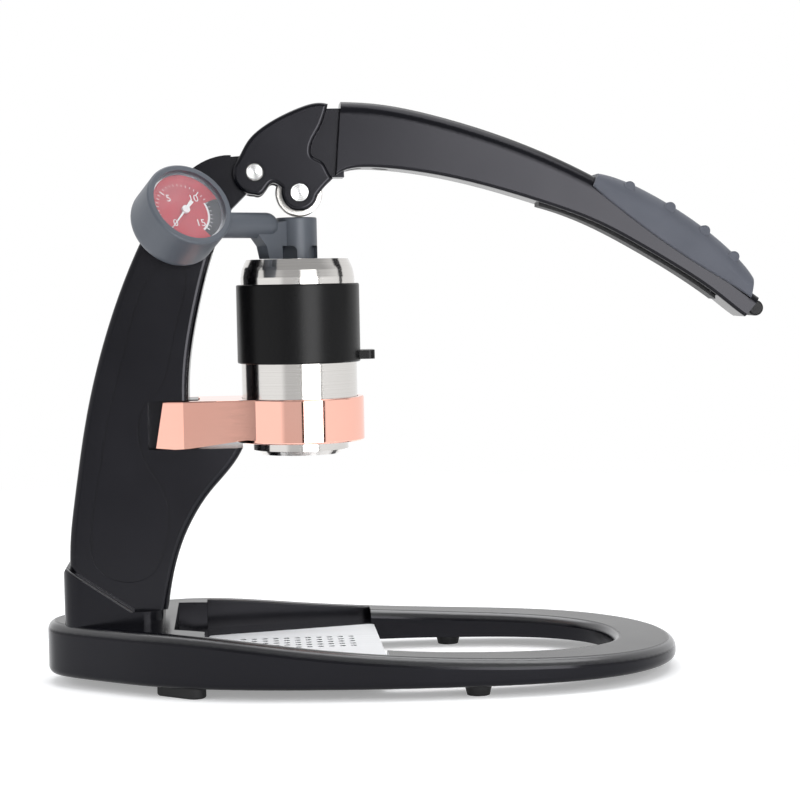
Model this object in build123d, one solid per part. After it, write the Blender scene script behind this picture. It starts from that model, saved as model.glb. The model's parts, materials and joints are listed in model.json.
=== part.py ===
from build123d import *
import math
import os

# Manual espresso maker: an egg-shaped base ring, a curved post, a lever on a hinge at the
# top of the post, and a brew head carried by a fork that slides on to the post.
# Millimetres. X runs from the back of the base to the lever's tip, Z is up, and the origin
# is on the table, in the middle of the overall length. Outlines are (x, z) seen from the
# side, or (x, y) seen from above.

# Clearances
slip_gap = 0.3
shaft_gap = 0.05
seal_gap = 0.03
rest_gap = 0.1

# Further than any part reaches, and the overrun of a cut or a join past a face
beyond = 400.0
over = 1.0

# Edges longer than this belong to the main outlines; directions closer than this are the same
long_edge = 60.0
same = 1e-6

# Base ring
base_back_x = -174.2
base_front_x = 127.8
base_bottom_z = 5.0
base_edge_radius = 4.5
base_lower_edge_radius = 3.0
base_side = [(-171.5, 12.5), (-161.0, 25.0), (-146.0, 37.0), (-128.0, 50.0), (-103.0, 62.5),
             (-56.0, 73.5), (20.0, 79.0), (64.0, 75.0), (98.0, 60.5), (121.0, 33.0)]
base_rear_z = 29.6
base_top = [(-125.0, 29.6), (-50.0, 23.1), (140.0, 13.5)]
base_top_slope = (1.0, -0.05)
ring_hole_front_x = 97.5
ring_hole_back_x = -113.0
ring_hole_side = [(92.0, 25.0), (70.0, 44.5), (30.0, 54.5), (-14.0, 56.0), (-60.0, 51.5)]
ring_hole_back_half = 41.0
ring_hole_back_slope = 0.25
ring_hole_edge_radius = 4.0

# Rear deck, tray recess and tray pocket of the base
deck_front_x = -16.0
deck_top_z = 13.2
deck_floor = 2.4
recess_back_x = -99.0
recess_wall = 7.0
recess_edge_radius = 1.2

# Socket for the post at the back of the base
collar_back_x = -164.8
collar_front_x = -118.6
collar_half = 24.0
collar_corner = 9.0
collar_tip_drop = 3.0
collar_edge_radius = 1.0
seam = [(-163.2, 56.8), (-132.0, 35.4), (-116.4, 35.4)]
tenon_half = 14.0
tenon_back_x = -157.0
tenon_front_x = -122.0
tenon_bottom_z = 14.0

# Post
post_half = 19.0
post_back_line = [(-161.6, 56.8), (-160.9, 72.0), (-158.6, 89.0), (-152.4, 126.0), (-140.4, 170.5),
                  (-126.0, 206.0), (-112.0, 230.0), (-98.7, 243.6), (-84.8, 248.6)]
post_neck_end_x = -81.9
post_neck_low = (-81.9, 223.4)
neck_link = [(-85.9, 247.6), (-71.9, 248.4), (-71.9, 231.2), (-75.0, 230.2), post_neck_low, (-85.9, 227.4)]
post_front_line = [(-81.9, 223.4), (-90.7, 204.9), (-98.1, 179.3), (-103.3, 151.7), (-104.3, 133.7)]
shelf_line = [(-79.3, 110.8), (-85.7, 101.0), (-95.3, 90.2), (-103.6, 77.8), (-108.3, 68.0),
              (-112.3, 55.8), (-116.4, 35.4)]
post_edge_radius = 3.0
neck_half = 7.6
neck_start_x = -114.0
tongue_eye_radius = 9.2
fork_recess_back_x = -123.5
web_half = 11.0
web_front_x = -100.0

# Panel line cut into both sides of the post
panel_width = 1.1
panel_depth = 0.6
panel_line = [(-113.5, 199.5), (-120.2, 193.0), (-132.7, 161.0), (-142.4, 124.0), (-148.2, 92.7),
              (-151.2, 66.0), (-149.0, 57.0), (-131.5, 49.4), (-122.6, 53.5), (-117.3, 64.0),
              (-114.6, 80.0), (-117.5, 93.0), (-124.8, 105.0), (-128.0, 118.0), (-125.5, 131.0),
              (-118.0, 139.5), (-113.4, 151.0), (-109.0, 171.0), (-104.3, 192.0), (-106.5, 198.8)]

# Lever bracket: two cheeks on the pivot, with the roller between them
pivot = (-70.9, 240.2)
roller_centre = (-50.1, 230.3)
cheek_outer_half = 14.0
cheek_inner_half = 8.0
bracket_top = [(-80.6, 243.2), (-77.5, 248.4), (-73.6, 255.0), (-66.9, 261.1), (-58.4, 266.1),
               (-48.9, 270.2), (-40.5, 272.2), (-35.8, 271.6)]
bracket_right = [(-35.8, 271.6), (-37.3, 266.3), (-39.8, 260.3), (-44.0, 252.0), (-43.8, 247.6),
                 (-39.3, 244.8), (-36.4, 240.2), (-34.1, 236.6)]
bracket_low = [(-34.1, 236.6), (-38.6, 232.3), (-41.6, 228.6)]
boss_low = (-49.5, 221.7)
bracket_heel = (-79.9, 234.6)
bracket_notch = [(-58.3, 232.4), (-59.9, 233.9), (-62.4, 234.9), (-66.2, 231.2), (-71.2, 229.6)]
slot_web_x = -60.0
slot_web_z = 242.0
bracket_edge_radius = 1.8

pivot_pin_radius = 4.0
roller_tread_half = 5.0
roller_hub_radius = 7.8
roller_hub_half = 7.5
roller_bore_radius = 3.5
roller_edge_radius = 0.8
screw_head_radius = 3.6
roller_screw_head_radius = 4.1
screw_recess_radius = 4.9
roller_screw_recess_radius = 5.2
screw_recess_depth = 1.0
screw_head_height = 1.6
screw_shank_radius = 2.0
screw_shank = 3.0
screw_dimple_radius = 1.2
screw_dimple_depth = 0.7

# Handle: the lower and the upper point of each section along it
handle_half = 13.0
handle_stations = [((-32.4, 238.2), (-29.6, 272.9)), ((-14.1, 241.6), (-6.0, 270.8)),
                   ((7.2, 239.1), (14.4, 266.2)), ((35.7, 232.8), (43.4, 257.2)),
                   ((64.3, 224.0), (73.2, 245.0)), ((93.0, 212.9), (102.4, 229.6)),
                   ((112.2, 202.4), (121.9, 217.4)), ((131.4, 190.7), (140.9, 204.0)),
                   ((149.6, 178.0), (157.6, 188.6)), ((162.8, 167.6), (170.4, 176.6))]
handle_top_radius = 6.5
handle_low_radius = 1.5
handle_round_share = 0.4
handle_tongue_half = 8.0
tongue_low_z = 248.0
tongue_outline = [(-46.0, 267.0), (-37.0, 269.8), (-29.0, 269.8), (-4.0, 263.5), (-4.0, tongue_low_z),
                  (-28.6, tongue_low_z), (-28.6, 237.4), (-36.5, 237.4), (-46.0, 246.0)]
strip_half = 7.0
strip_start_x = 60.0
strip_end_x = 155.0
strip_proud = 1.7
strip_depth = 2.4
strip_cut = 20.0
handle_screw_x = (-24.0, -11.0)
handle_screw_radius = 2.0
handle_screw_head_radius = 3.6
handle_screw_head = 2.6
handle_screw_seat_rise = 3.2
handle_screw_bite = 7.0

# Grip and end cap
grip_first_station = 5
grip_last_station = 8
grip_start = ((82.6, 217.0), (91.6, 235.2))
grip_end = ((163.8, 168.2), (166.4, 180.9))
grip_cover = (0.22, 0.39, 0.55, 0.60, 0.42, 0.34)
grip_thick = (2.2, 4.9, 6.9, 7.2, 7.2, 5.6)
grip_wall = 1.6
grip_edge_radius = 0.9
grip_round_share = 0.6
ridge_x = (107.4, 126.9, 143.5, 157.6)
ridge_radius = 2.6
ridge_sunk = 1.9
cap_centre = (169.0, 171.6)
cap_radius = 3.8
cap_half = 9.0
cap_edge_radius = 1.2

# Brew head
brew_axis_x = -51.5
ring_outer_radius = 30.7
ring_top_z = 133.4
ring_bottom_z = 112.5
ring_bore_radius = 23.1
ring_seat_radius = 27.9
ring_seat_z = 126.0
prong_thick = 10.5
prong_end_x = -119.4
prong_end_slope = 3.2
prong_end_low_z = 110.9
prong_facet_x = -106.8
prong_facet_drop = 4.6
prong_join_x = -77.4
prong_underside = [(prong_join_x, 114.6), (-104.0, 111.3), (-111.0, prong_end_low_z), (-120.0, 111.5)]
prong_blend = (-64.1, 28.0)
fork_edge_radius = 0.8
cup_radius = 22.8
cup_bottom_z = 106.6
cup_wall = 1.2
cup_flange_radius = 27.5
cup_flange = 1.6
cup_chamfer = 2.0
cup_floor = 1.5
outlet_radius = 4.5
basket_radius = 21.4
basket_wall = 0.8
basket_floor_z = 108.4
basket_flange = 0.8
basket_flange_inset = 1.0
basket_chamfer = 1.0
basket_hole_radius = 0.6
basket_hole_rings = 4
basket_hole_pitch = 4.4
holes_per_ring = 6
screen_thick = 0.8
screen_drop = 3.0
screen_hole_radius = 0.7
seal_width = 2.6
seal_height = 2.0

# Cylinder and its sleeve
bore_radius = 23.0
cylinder_low_radius = 27.6
cylinder_cap_radius = 27.2
cylinder_top_z = 199.1
cylinder_top_radius = 24.4
cylinder_shoulder = 8.6
cylinder_shoulder_radius = 7.0
cylinder_shoulder_step = 0.8
sleeve_radius = 29.4
sleeve_bottom_z = 149.9
sleeve_top_z = 187.3
sleeve_wall = 3.0
sleeve_edge_radius = 0.8
tab_end = 36.6
tab_low_z = 151.0
tab_high_z = 155.2
tab_half = 7.0
tab_corner = 3.0

# Piston and stem
piston_bottom_z = 131.8
piston_height = 14.0
piston_gap = 0.25
piston_edge_radius = 0.6
oring_section = 1.25
oring_inset = 3.6
stem_radius = 6.0
stem_top_z = 213.0
stem_seat = 3.0
stem_bore_end = 4.0
stem_bore_radius = 1.5
thrust_radius = 7.6
thrust_cap = 5.9
thrust_edge_radius = 1.2
nut_height = 3.6
nut_corner_radius = 8.7

# Stem housing with the gauge on its arm
housing_radius = 9.8
housing_bottom_z = 199.4
housing_top_z = 218.9
window_half = 4.2
window_corner = 2.4
window_wall = 0.9
window_reach = 12.0
window_top_z = 205.4
window_turns = (-26.0, 60.0, 150.0, 240.0)
arm_angle = 34.6
arm_radius = 6.0
arm_z = 215.2
arm_start = 18.0
arm_web_half = 4.2
arm_web_low = 19.0
arm_web_bend = (20.5, 205.4)
arm_web_join = (27.0, 213.2)
gauge_reach = 66.2
gauge_z = 218.7
gauge_normal = (0.445, -0.749, 0.491)
gauge_radius = 21.0
gauge_ahead = 12.0
gauge_behind = 12.0
gauge_wall = 3.0
gauge_back = 3.5
gauge_round = 6.0
gauge_lip_radius = 1.1
housing_edge_radius = 0.8
case_depth = 13.5
case_wall = 1.2
dial_thick = 0.8
bezel_depth = 3.2
bezel_wall = 0.9
lens_thick = 1.4
needle_length = 11.0
needle_tail = 5.0
needle_width = 1.5
needle_hub_radius = 2.0
needle_above_dial = 0.8
needle_thick = 0.7
needle_spindle_radius = 0.6
needle_spindle_end = 2.0
needle_tip_half = 0.25
needle_hub_rise = 0.5
needle_turn = 205.0

# Drip tray
tray_front_x = -15.2
tray_back_x = -98.0
tray_front_half = 48.2
tray_back_half = 27.0
tray_plate = 1.2
tray_shelf = 3.0
tray_corner = 2.5
pan_wall = 1.2
tray_hole_radius = 1.5
tray_hole_columns = 11
tray_hole_rows = 5
tray_hole_pitch_x = 5.25
tray_hole_pitch_y = 6.4
tray_field_x = -55.0

# Feet
foot_top_radius = 6.4
foot_low_radius = 5.2
foot_inset = 2.0
front_foot = (24.5, 67.5)
rear_foot = (-110.0, 49.0)
rear_foot_length = 26.0
rear_foot_width = 10.0
rear_foot_turn = 38.0
foot_edge_radius = 1.0

# Bolts that hold the post
post_bolt_x = (-148.0, -131.0)
post_bolt_radius = 3.0
post_bolt_head_radius = 5.2
post_bolt_head = 4.5
post_bolt_length = 26.8
bolt_socket_radius = 3.0
bolt_socket_depth = 2.5


def save(solid, name):
    """Write one sub-part to its own file."""
    solid.label = name
    export_step(solid, f"parts/{name}.step")


def side_face(*edges):
    """Close side-view curves into a face on the XZ plane."""
    return Plane.XZ * make_face(Curve() + list(edges))


def side_solid(face, half):
    """Give a side-view face a thickness, even about the middle plane."""
    return extrude(face, amount=half, both=True)


def turned(profile, x=0.0):
    """Spin an (r, z) outline about an upright axis at x."""
    face = Plane.XZ * make_face(Polyline(*profile, close=True))
    return Pos(x, 0, 0) * revolve(face, Axis.Z)


def upright(radius, low, high, x=0.0, y=0.0):
    """A round bar from one height to another."""
    return Pos(x, y, (low + high) / 2) * Cylinder(radius, high - low)


def cross_bar(centre, radius, half):
    """A round bar across the machine, centred on an (x, z) point."""
    return Pos(centre[0], 0, centre[1]) * Rot(90, 0, 0) * Cylinder(radius, 2 * half)


def block(x0, x1, half, z0, z1):
    """A box even about the middle plane."""
    return Pos((x0 + x1) / 2, 0, (z0 + z1) / 2) * Box(x1 - x0, 2 * half, z1 - z0)


# Base

def closed_curve(points, inwards=0.0):
    """A smooth closed outline through points that run clockwise, moved inwards by a distance."""
    moved = []
    for i, (x, y) in enumerate(points):
        before = points[i - 1]
        after = points[(i + 1) % len(points)]
        along = Vector(after[0] - before[0], after[1] - before[1]).normalized()
        moved.append((x + along.Y * inwards, y - along.X * inwards))
    return make_face(Spline(*moved, periodic=True))


def base_outline(inwards=0.0):
    far = [(x, -y) for x, y in reversed(base_side)]
    return closed_curve([(base_back_x, 0.0), *base_side, (base_front_x, 0.0), *far], inwards)


def hole_outline():
    near = [(ring_hole_front_x, 0.0)] + ring_hole_side + [(ring_hole_back_x, ring_hole_back_half)]
    far = [(x, -y) for x, y in near]
    upper = Spline(*near, tangents=[(0, 1), (-1, -ring_hole_back_slope)])
    lower = Spline(*far, tangents=[(0, -1), (-1, ring_hole_back_slope)])
    back = Line(near[-1], far[-1])
    return make_face(Curve() + [upper, lower, back])


def top_cut():
    high = 2 * seam[0][1]
    first, last = base_top[0], base_top[-1]
    back = base_back_x - over
    slope = Spline(*base_top, tangents=[(1, 0), base_top_slope])
    roof = Polyline(last, (last[0], high), (back, high), (back, base_rear_z), first)
    return side_solid(side_face(slope, roof), beyond)


def tray_outline(grow):
    return make_face(Polyline(
        (tray_front_x + grow, tray_front_half + grow),
        (tray_back_x - grow, tray_back_half + grow),
        (tray_back_x - grow, -tray_back_half - grow),
        (tray_front_x + grow, -tray_front_half - grow), close=True))


def collar():
    low = deck_top_z
    side = side_face(Polyline(
        (collar_back_x, low), (collar_back_x, seam[0][1] - collar_tip_drop),
        *seam[:-1], (collar_front_x, seam[1][1]), (collar_front_x, low), close=True))
    plan = Rectangle(collar_front_x - collar_back_x, 2 * collar_half)
    plan = fillet(plan.vertices(), collar_corner)
    plan = Pos((collar_front_x + collar_back_x) / 2, 0, low) * plan
    body = side_solid(side, collar_half) & extrude(plan, amount=seam[0][1])
    raised = [e for e in body.edges() if e.center().Z > seam[1][1] + over]
    outside = [e for e in raised if abs(e.center().Y) > post_half + over]
    rim = [e for e in outside if e.length > 2 * collar_edge_radius and abs(e.tangent_at(0.5).Z) < 0.9]
    return fillet(rim, collar_edge_radius)


def base_ring():
    body = extrude(Pos(0, 0, base_bottom_z) * base_outline(), amount=seam[0][1]) - top_cut()
    high = [e for e in body.edges() if e.center().Z > 2 * base_bottom_z]
    rim = [e for e in high if abs(e.position_at(0.5).Y) > base_edge_radius]
    body = fillet(rim, base_edge_radius)
    body = fillet(body.faces().sort_by(Axis.Z)[0].outer_wire().edges(), base_lower_edge_radius)

    opening = extrude(Pos(0, 0, deck_top_z) * hole_outline(), amount=seam[0][1])
    front = block(deck_front_x, base_front_x, beyond, 0, seam[0][1])
    through = extrude(hole_outline(), amount=seam[0][1]) & front
    recess = extrude(Pos(0, 0, deck_top_z) * base_outline(recess_wall), amount=seam[0][1])
    recess &= block(recess_back_x, deck_front_x, beyond, 0, seam[0][1])
    pocket_low = base_bottom_z + deck_floor
    pocket = extrude(Pos(0, 0, pocket_low) * tray_outline(slip_gap - tray_shelf), amount=seam[0][1])
    body = body - opening - through - recess - pocket
    raised = [e for e in body.edges() if e.center().Z > deck_top_z + over and abs(e.center().Y) > over]
    inner = [e for e in raised if abs(e.center().Y) < base_side[-4][1] and e.center().X > 0
             and e.length > 2 * ring_hole_edge_radius]
    body = fillet(inner, ring_hole_edge_radius)
    raised = [e for e in body.edges() if e.center().Z > deck_top_z + over and e.length > long_edge]
    wall = [e for e in raised if recess_back_x < e.center().X < deck_front_x
            and abs(e.center().Y) < base_side[5][1] - recess_wall + over]
    body = fillet(wall, recess_edge_radius)

    body += collar()
    tenon = block(tenon_back_x, tenon_front_x, tenon_half, tenon_bottom_z, 2 * seam[0][1])
    body -= tenon
    for x in post_bolt_x:
        body -= upright(post_bolt_radius, 0, seam[0][1], x)
        body -= upright(post_bolt_head_radius + slip_gap, 0, base_bottom_z + post_bolt_head + rest_gap, x)
    for x, y in foot_places():
        body -= foot_seat(x, y)
    return body


# Feet

def foot_places():
    return [front_foot, (front_foot[0], -front_foot[1]), rear_foot, (rear_foot[0], -rear_foot[1])]


def rear_turn(y):
    return math.copysign(rear_foot_turn, y)


def foot_seat(x, y):
    high = base_bottom_z + foot_inset
    if x > 0:
        return upright(foot_top_radius, 0, high, x, y)
    pad = SlotOverall(rear_foot_length, rear_foot_width)
    return extrude(Pos(x, y, 0) * Rot(0, 0, rear_turn(y)) * pad, amount=high)


def front_foot_solid(x, y):
    cone = Rot(180, 0, 0) * Cone(foot_top_radius, foot_low_radius, base_bottom_z)
    top = upright(foot_top_radius, base_bottom_z, base_bottom_z + foot_inset, x, y)
    return Pos(x, y, base_bottom_z / 2) * cone + top


def rear_foot_solid(x, y):
    pad = foot_seat(x, y)
    return fillet(pad.faces().sort_by(Axis.Z)[0].edges(), foot_edge_radius)


# Post

def post():
    neck_top = post_back_line[-1]
    back = Spline(*post_back_line)
    top = Polyline(neck_top, (post_neck_end_x, neck_top[1]), post_neck_low)
    front = Spline(*post_front_line)
    fork_low = prong_end_low_z - rest_gap
    fork_high = ring_top_z + slip_gap
    ledge = Polyline(post_front_line[-1], (web_front_x, fork_high), (web_front_x, fork_low), shelf_line[0])
    shelf = Spline(*shelf_line)
    foot_back_x = post_back_line[0][0]
    foot = Polyline(seam[2], seam[1], (foot_back_x, seam_height(foot_back_x)), post_back_line[0])
    body = side_solid(side_face(back, top, front, ledge, shelf, foot), post_half)
    body = fillet(long_edges(body), post_edge_radius)

    # The neck is narrow enough for the lever's cheeks to swing past it
    swing = cross_bar(pivot, neck_start_reach(), post_half * 2)
    narrow = block(-beyond, 0, neck_half, 0, beyond)
    body -= swing - narrow

    # The fork slides along a recess in each side, under a ledge and over the shelf
    recess = block(fork_recess_back_x, 0, post_half * 2, fork_low, fork_high)
    web = block(fork_recess_back_x - over, web_front_x, web_half, 0, beyond)
    body -= recess - web

    eye = cross_bar(pivot, tongue_eye_radius, neck_half)
    link = side_solid(side_face(Polyline(*neck_link, close=True)), neck_half)
    body += eye + link
    body -= cross_bar(pivot, pivot_pin_radius + shaft_gap, post_half)
    body += block(tenon_back_x, tenon_front_x, tenon_half, tenon_bottom_z, seam[0][1])
    for x in post_bolt_x:
        body -= upright(post_bolt_radius, 0, base_bottom_z + post_bolt_head + post_bolt_length, x)
    body -= panel_groove(post_half - panel_depth)
    body -= mirror(panel_groove(post_half - panel_depth), Plane.XZ)
    return body


def seam_height(x):
    """Height of the sloping joint between the collar and the post."""
    (x0, z0), (x1, z1) = seam[:2]
    return z0 + (z1 - z0) * (x - x0) / (x1 - x0)


def neck_start_reach():
    return pivot[0] - neck_start_x


def facing_sideways(body):
    """The flat faces square to the width of the machine."""
    flat = body.faces().filter_by(GeomType.PLANE)
    return [f for f in flat if abs(f.normal_at().X) + abs(f.normal_at().Z) < same]


def long_edges(body):
    side = facing_sideways(body)
    return [e for f in side for e in f.edges() if e.length > long_edge]


def panel_groove(depth_from):
    """The thin line round the panel on the near side of the post."""
    band = closed_curve(panel_line, panel_width / 2) - closed_curve(panel_line, -panel_width / 2)
    return extrude(Plane.XZ.offset(depth_from) * band, amount=post_half, dir=(0, -1, 0))


# Lever

def lever_bracket():
    boss_join = [bracket_low[-1], boss_low, bracket_notch[0]]
    under_pivot = [bracket_notch[-1], bracket_heel, bracket_top[0]]
    face = side_face(Spline(*bracket_top), Spline(*bracket_right), Spline(*bracket_low),
                     ThreePointArc(*boss_join), Spline(*bracket_notch), ThreePointArc(*under_pivot))
    body = side_solid(face, cheek_outer_half)
    outer = facing_sideways(body)
    body = fillet([e for f in outer for e in f.edges()], bracket_edge_radius)
    slot = block(-beyond, slot_web_x, cheek_inner_half, 0, beyond)
    slot += block(slot_web_x - over, 0, cheek_inner_half, 0, slot_web_z)
    body -= slot
    body += side_solid(side_face(Polyline(*tongue_outline, close=True)), handle_tongue_half)
    body -= cross_bar(pivot, pivot_pin_radius, cheek_outer_half * 2)
    body -= cross_bar(roller_centre, roller_bore_radius, cheek_outer_half * 2)
    for centre, radius in ((pivot, screw_recess_radius), (roller_centre, roller_screw_recess_radius)):
        for y in (-1, 1):
            depth = screw_recess_depth
            recess = Rot(90, 0, 0) * Cylinder(radius, 2 * depth)
            body -= Pos(centre[0], y * cheek_outer_half, centre[1]) * recess
    for x in handle_screw_x:
        body -= upright(handle_screw_radius, 0, tongue_low_z + handle_screw_bite + over, x)
    return body


def pin(centre, radius):
    return cross_bar(centre, radius, cheek_outer_half - screw_recess_depth - screw_shank)


def cap_screws(centre, radius):
    """A turned screw head on each end of a pin, with a dimple in its middle."""
    face_y = cheek_outer_half - screw_recess_depth
    head = upright(radius, face_y, face_y + screw_head_height)
    head += upright(screw_shank_radius, face_y - screw_shank, face_y)
    head -= Pos(0, 0, face_y + screw_head_height) * Cone(0, screw_dimple_radius, 2 * screw_dimple_depth)
    return Compound(children=[Pos(centre[0], 0, centre[1]) * Rot(side, 0, 0) * head for side in (-90, 90)])


def roller():
    """The tread runs just over the thrust button; the hub fills the gap between the cheeks."""
    tread = cross_bar(roller_centre, roller_centre[1] - housing_top_z - slip_gap, roller_tread_half)
    tread = fillet(tread.edges().filter_by(GeomType.CIRCLE), roller_edge_radius)
    body = tread + cross_bar(roller_centre, roller_hub_radius, roller_hub_half)
    return body - cross_bar(roller_centre, roller_bore_radius + shaft_gap, roller_hub_half * 2)


def across(low, high):
    """Plane through two (x, z) points and the width of the machine, its y from low to high."""
    up = Vector(high[0] - low[0], 0, high[1] - low[1]).normalized()
    return Plane(origin=(low[0], 0, low[1]), x_dir=(0, 1, 0), z_dir=Vector(0, 1, 0).cross(up))


def gap_between(low, high):
    return math.hypot(high[0] - low[0], high[1] - low[1])


def handle_section(low, high):
    height = gap_between(low, high)
    plan = Pos(0, height / 2) * Rectangle(2 * handle_half, height)
    upper = plan.vertices().group_by(Axis.Y)[-1]
    plan = fillet(upper, min(handle_top_radius, height * handle_round_share))
    plan = fillet(plan.vertices().group_by(Axis.Y)[0], handle_low_radius)
    return across(low, high) * plan


def handle_solid():
    return loft([handle_section(low, high) for low, high in handle_stations])


def strip_channel(grow, reach):
    """The band along the handle's underside, between two depths from its lower line."""
    low = [low for low, high in handle_stations if strip_start_x <= low[0] <= strip_end_x]
    upper = [(x, z + grow) for x, z in low]
    lower = [(x, z - reach) for x, z in low]
    face = side_face(Spline(*upper), Line(upper[-1], lower[-1]), Spline(*lower), Line(upper[0], lower[0]))
    return side_solid(face, strip_half)


def lever_handle():
    body = handle_solid()
    body -= side_solid(side_face(Polyline(*tongue_outline, close=True)), handle_tongue_half)
    body -= strip_channel(strip_depth, strip_cut)
    for x in handle_screw_x:
        body -= upright(handle_screw_radius, 0, tongue_low_z + over, x)
        body -= upright(handle_screw_head_radius + slip_gap, 0, handle_screw_seat(), x)
    body -= cap_solid()
    return body


def handle_screw_seat():
    return handle_stations[1][0][1] + handle_screw_seat_rise


def handle_screws():
    seat = handle_screw_seat()
    screws = []
    for x in handle_screw_x:
        head = upright(handle_screw_head_radius, seat - handle_screw_head, seat, x)
        shank = upright(handle_screw_radius, seat, tongue_low_z + handle_screw_bite, x)
        screws.append(head + shank)
    return Compound(children=screws)


def cap_solid():
    cap = cross_bar(cap_centre, cap_radius, cap_half)
    return fillet(cap.edges().filter_by(GeomType.CIRCLE), cap_edge_radius)


def grip_section(low, high, cover, thick):
    """One section of the grip, over the upper part of the handle's section and wider than it."""
    height = gap_between(low, high)
    depth = height * cover + thick
    plan = Pos(0, height + thick - depth / 2) * Rectangle(2 * (handle_half + grip_wall), depth)
    top_radius = min(handle_top_radius + grip_wall, depth * grip_round_share)
    plan = fillet(plan.vertices().group_by(Axis.Y)[-1], top_radius)
    plan = fillet(plan.vertices().group_by(Axis.Y)[0], grip_edge_radius)
    return across(low, high) * plan


def grip_stations():
    return [grip_start, *handle_stations[grip_first_station:grip_last_station + 1], grip_end]


def grip():
    outer = loft([grip_section(low, high, cover, thick)
                  for (low, high), cover, thick in zip(grip_stations(), grip_cover, grip_thick)])
    for x in ridge_x:
        outer += cross_bar((x, grip_top(x) - ridge_sunk), ridge_radius, handle_half)
    return outer - handle_solid() - cap_solid()


def grip_top(x):
    """Height of the grip's upper surface at x."""
    tops = []
    for (low, high), thick in zip(grip_stations(), grip_thick):
        share = thick / gap_between(low, high)
        tops.append((high[0] + share * (high[0] - low[0]), high[1] + share * (high[1] - low[1])))
    for (x0, z0), (x1, z1) in zip(tops, tops[1:]):
        if x0 <= x <= x1:
            return z0 + (z1 - z0) * (x - x0) / (x1 - x0)


# Brew head

def portafilter_holder():
    inner = web_half + slip_gap
    outer = inner + prong_thick
    side = side_face(Polyline(
        (prong_end_x + prong_end_slope, ring_top_z), (brew_axis_x, ring_top_z),
        (brew_axis_x, ring_bottom_z), *prong_underside, close=True))
    arms = side_solid(side, outer)
    plan = [(prong_end_x - over, outer - prong_facet_drop), (prong_facet_x, outer), (prong_join_x, outer),
            prong_blend, (brew_axis_x, prong_blend[1])]
    mirrored = [(x, -y) for x, y in reversed(plan)]
    envelope = extrude(make_face(Polyline(*plan, *mirrored, close=True)), amount=beyond)
    arms &= envelope
    slot_end = web_front_x + slip_gap
    arms -= block(-beyond, slot_end, inner, 0, beyond)
    body = arms + upright(ring_outer_radius, ring_bottom_z, ring_top_z, brew_axis_x)
    body -= upright(ring_bore_radius, 0, beyond, brew_axis_x)
    body -= upright(ring_seat_radius, ring_seat_z, beyond, brew_axis_x)
    flat = [f for f in body.faces().filter_by(GeomType.PLANE) if abs(abs(f.normal_at().Z) - 1) < same]
    ends = [f for f in flat if f.center().Z > ring_top_z - over or f.center().Z < ring_bottom_z + over]
    return fillet([e for f in ends for e in f.outer_wire().edges()], fork_edge_radius)


def portafilter_cup():
    r, w = cup_radius, cup_wall
    top = ring_seat_z + cup_flange
    profile = [(outlet_radius, cup_bottom_z), (r - cup_chamfer, cup_bottom_z),
               (r, cup_bottom_z + cup_chamfer), (r, ring_seat_z),
               (cup_flange_radius, ring_seat_z), (cup_flange_radius, top),
               (r - w, top), (r - w, cup_bottom_z + cup_floor), (outlet_radius, cup_bottom_z + w)]
    return turned(profile, brew_axis_x)


def hole_rings(rings, pitch, radius, low, high):
    """Round holes on circles about the brew axis."""
    holes = [upright(radius, low, high, brew_axis_x)]
    for ring in range(1, rings + 1):
        count = holes_per_ring * ring
        for i in range(count):
            a = 2 * math.pi * i / count
            x = brew_axis_x + ring * pitch * math.cos(a)
            holes.append(upright(radius, low, high, x, ring * pitch * math.sin(a)))
    return holes


def flange_top():
    return ring_seat_z + cup_flange


def filter_basket():
    r, w = basket_radius, basket_wall
    top = flange_top()
    flange = cup_flange_radius - basket_flange_inset
    profile = [(0, basket_floor_z), (r - basket_chamfer, basket_floor_z),
               (r, basket_floor_z + basket_chamfer), (r, top), (flange, top), (flange, top + basket_flange),
               (r - w, top + basket_flange), (r - w, basket_floor_z + w), (0, basket_floor_z + w)]
    body = turned(profile, brew_axis_x)
    high = basket_floor_z + w + over
    return body - hole_rings(basket_hole_rings, basket_hole_pitch, basket_hole_radius, 0, high)


def dispersion_screen():
    top = flange_top() + basket_flange - screen_drop
    disc = upright(basket_radius - basket_wall - rest_gap, top - screen_thick, top, brew_axis_x)
    return disc - hole_rings(basket_hole_rings, basket_hole_pitch, screen_hole_radius, 0, top + over)


def cylinder_bottom_z():
    return flange_top() + basket_flange


def cylinder_seal():
    """Flat gasket let into the cylinder's lower end."""
    middle = (bore_radius + cylinder_low_radius) / 2
    low = cylinder_bottom_z()
    high = low + seal_height
    ring = upright(middle + seal_width / 2, low, high, brew_axis_x)
    return ring - upright(middle - seal_width / 2, low - over, high + over, brew_axis_x)


def brew_cylinder():
    low = cylinder_bottom_z()
    inner = sleeve_radius - sleeve_wall
    profile = [(bore_radius, low), (cylinder_low_radius, low), (cylinder_low_radius, sleeve_bottom_z),
               (inner, sleeve_bottom_z), (inner, sleeve_top_z), (cylinder_cap_radius, sleeve_top_z),
               (cylinder_cap_radius, cylinder_top_z - cylinder_shoulder),
               (cylinder_cap_radius - cylinder_shoulder_step, cylinder_top_z - cylinder_shoulder / 2),
               (cylinder_top_radius, cylinder_top_z), (bore_radius, cylinder_top_z)]
    body = turned(profile, brew_axis_x)
    bends = [e for e in body.edges().filter_by(GeomType.CIRCLE)
             if abs(e.center().Z - (cylinder_top_z - cylinder_shoulder / 2)) < rest_gap]
    return fillet(bends, cylinder_shoulder_radius) - cylinder_seal()


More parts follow.
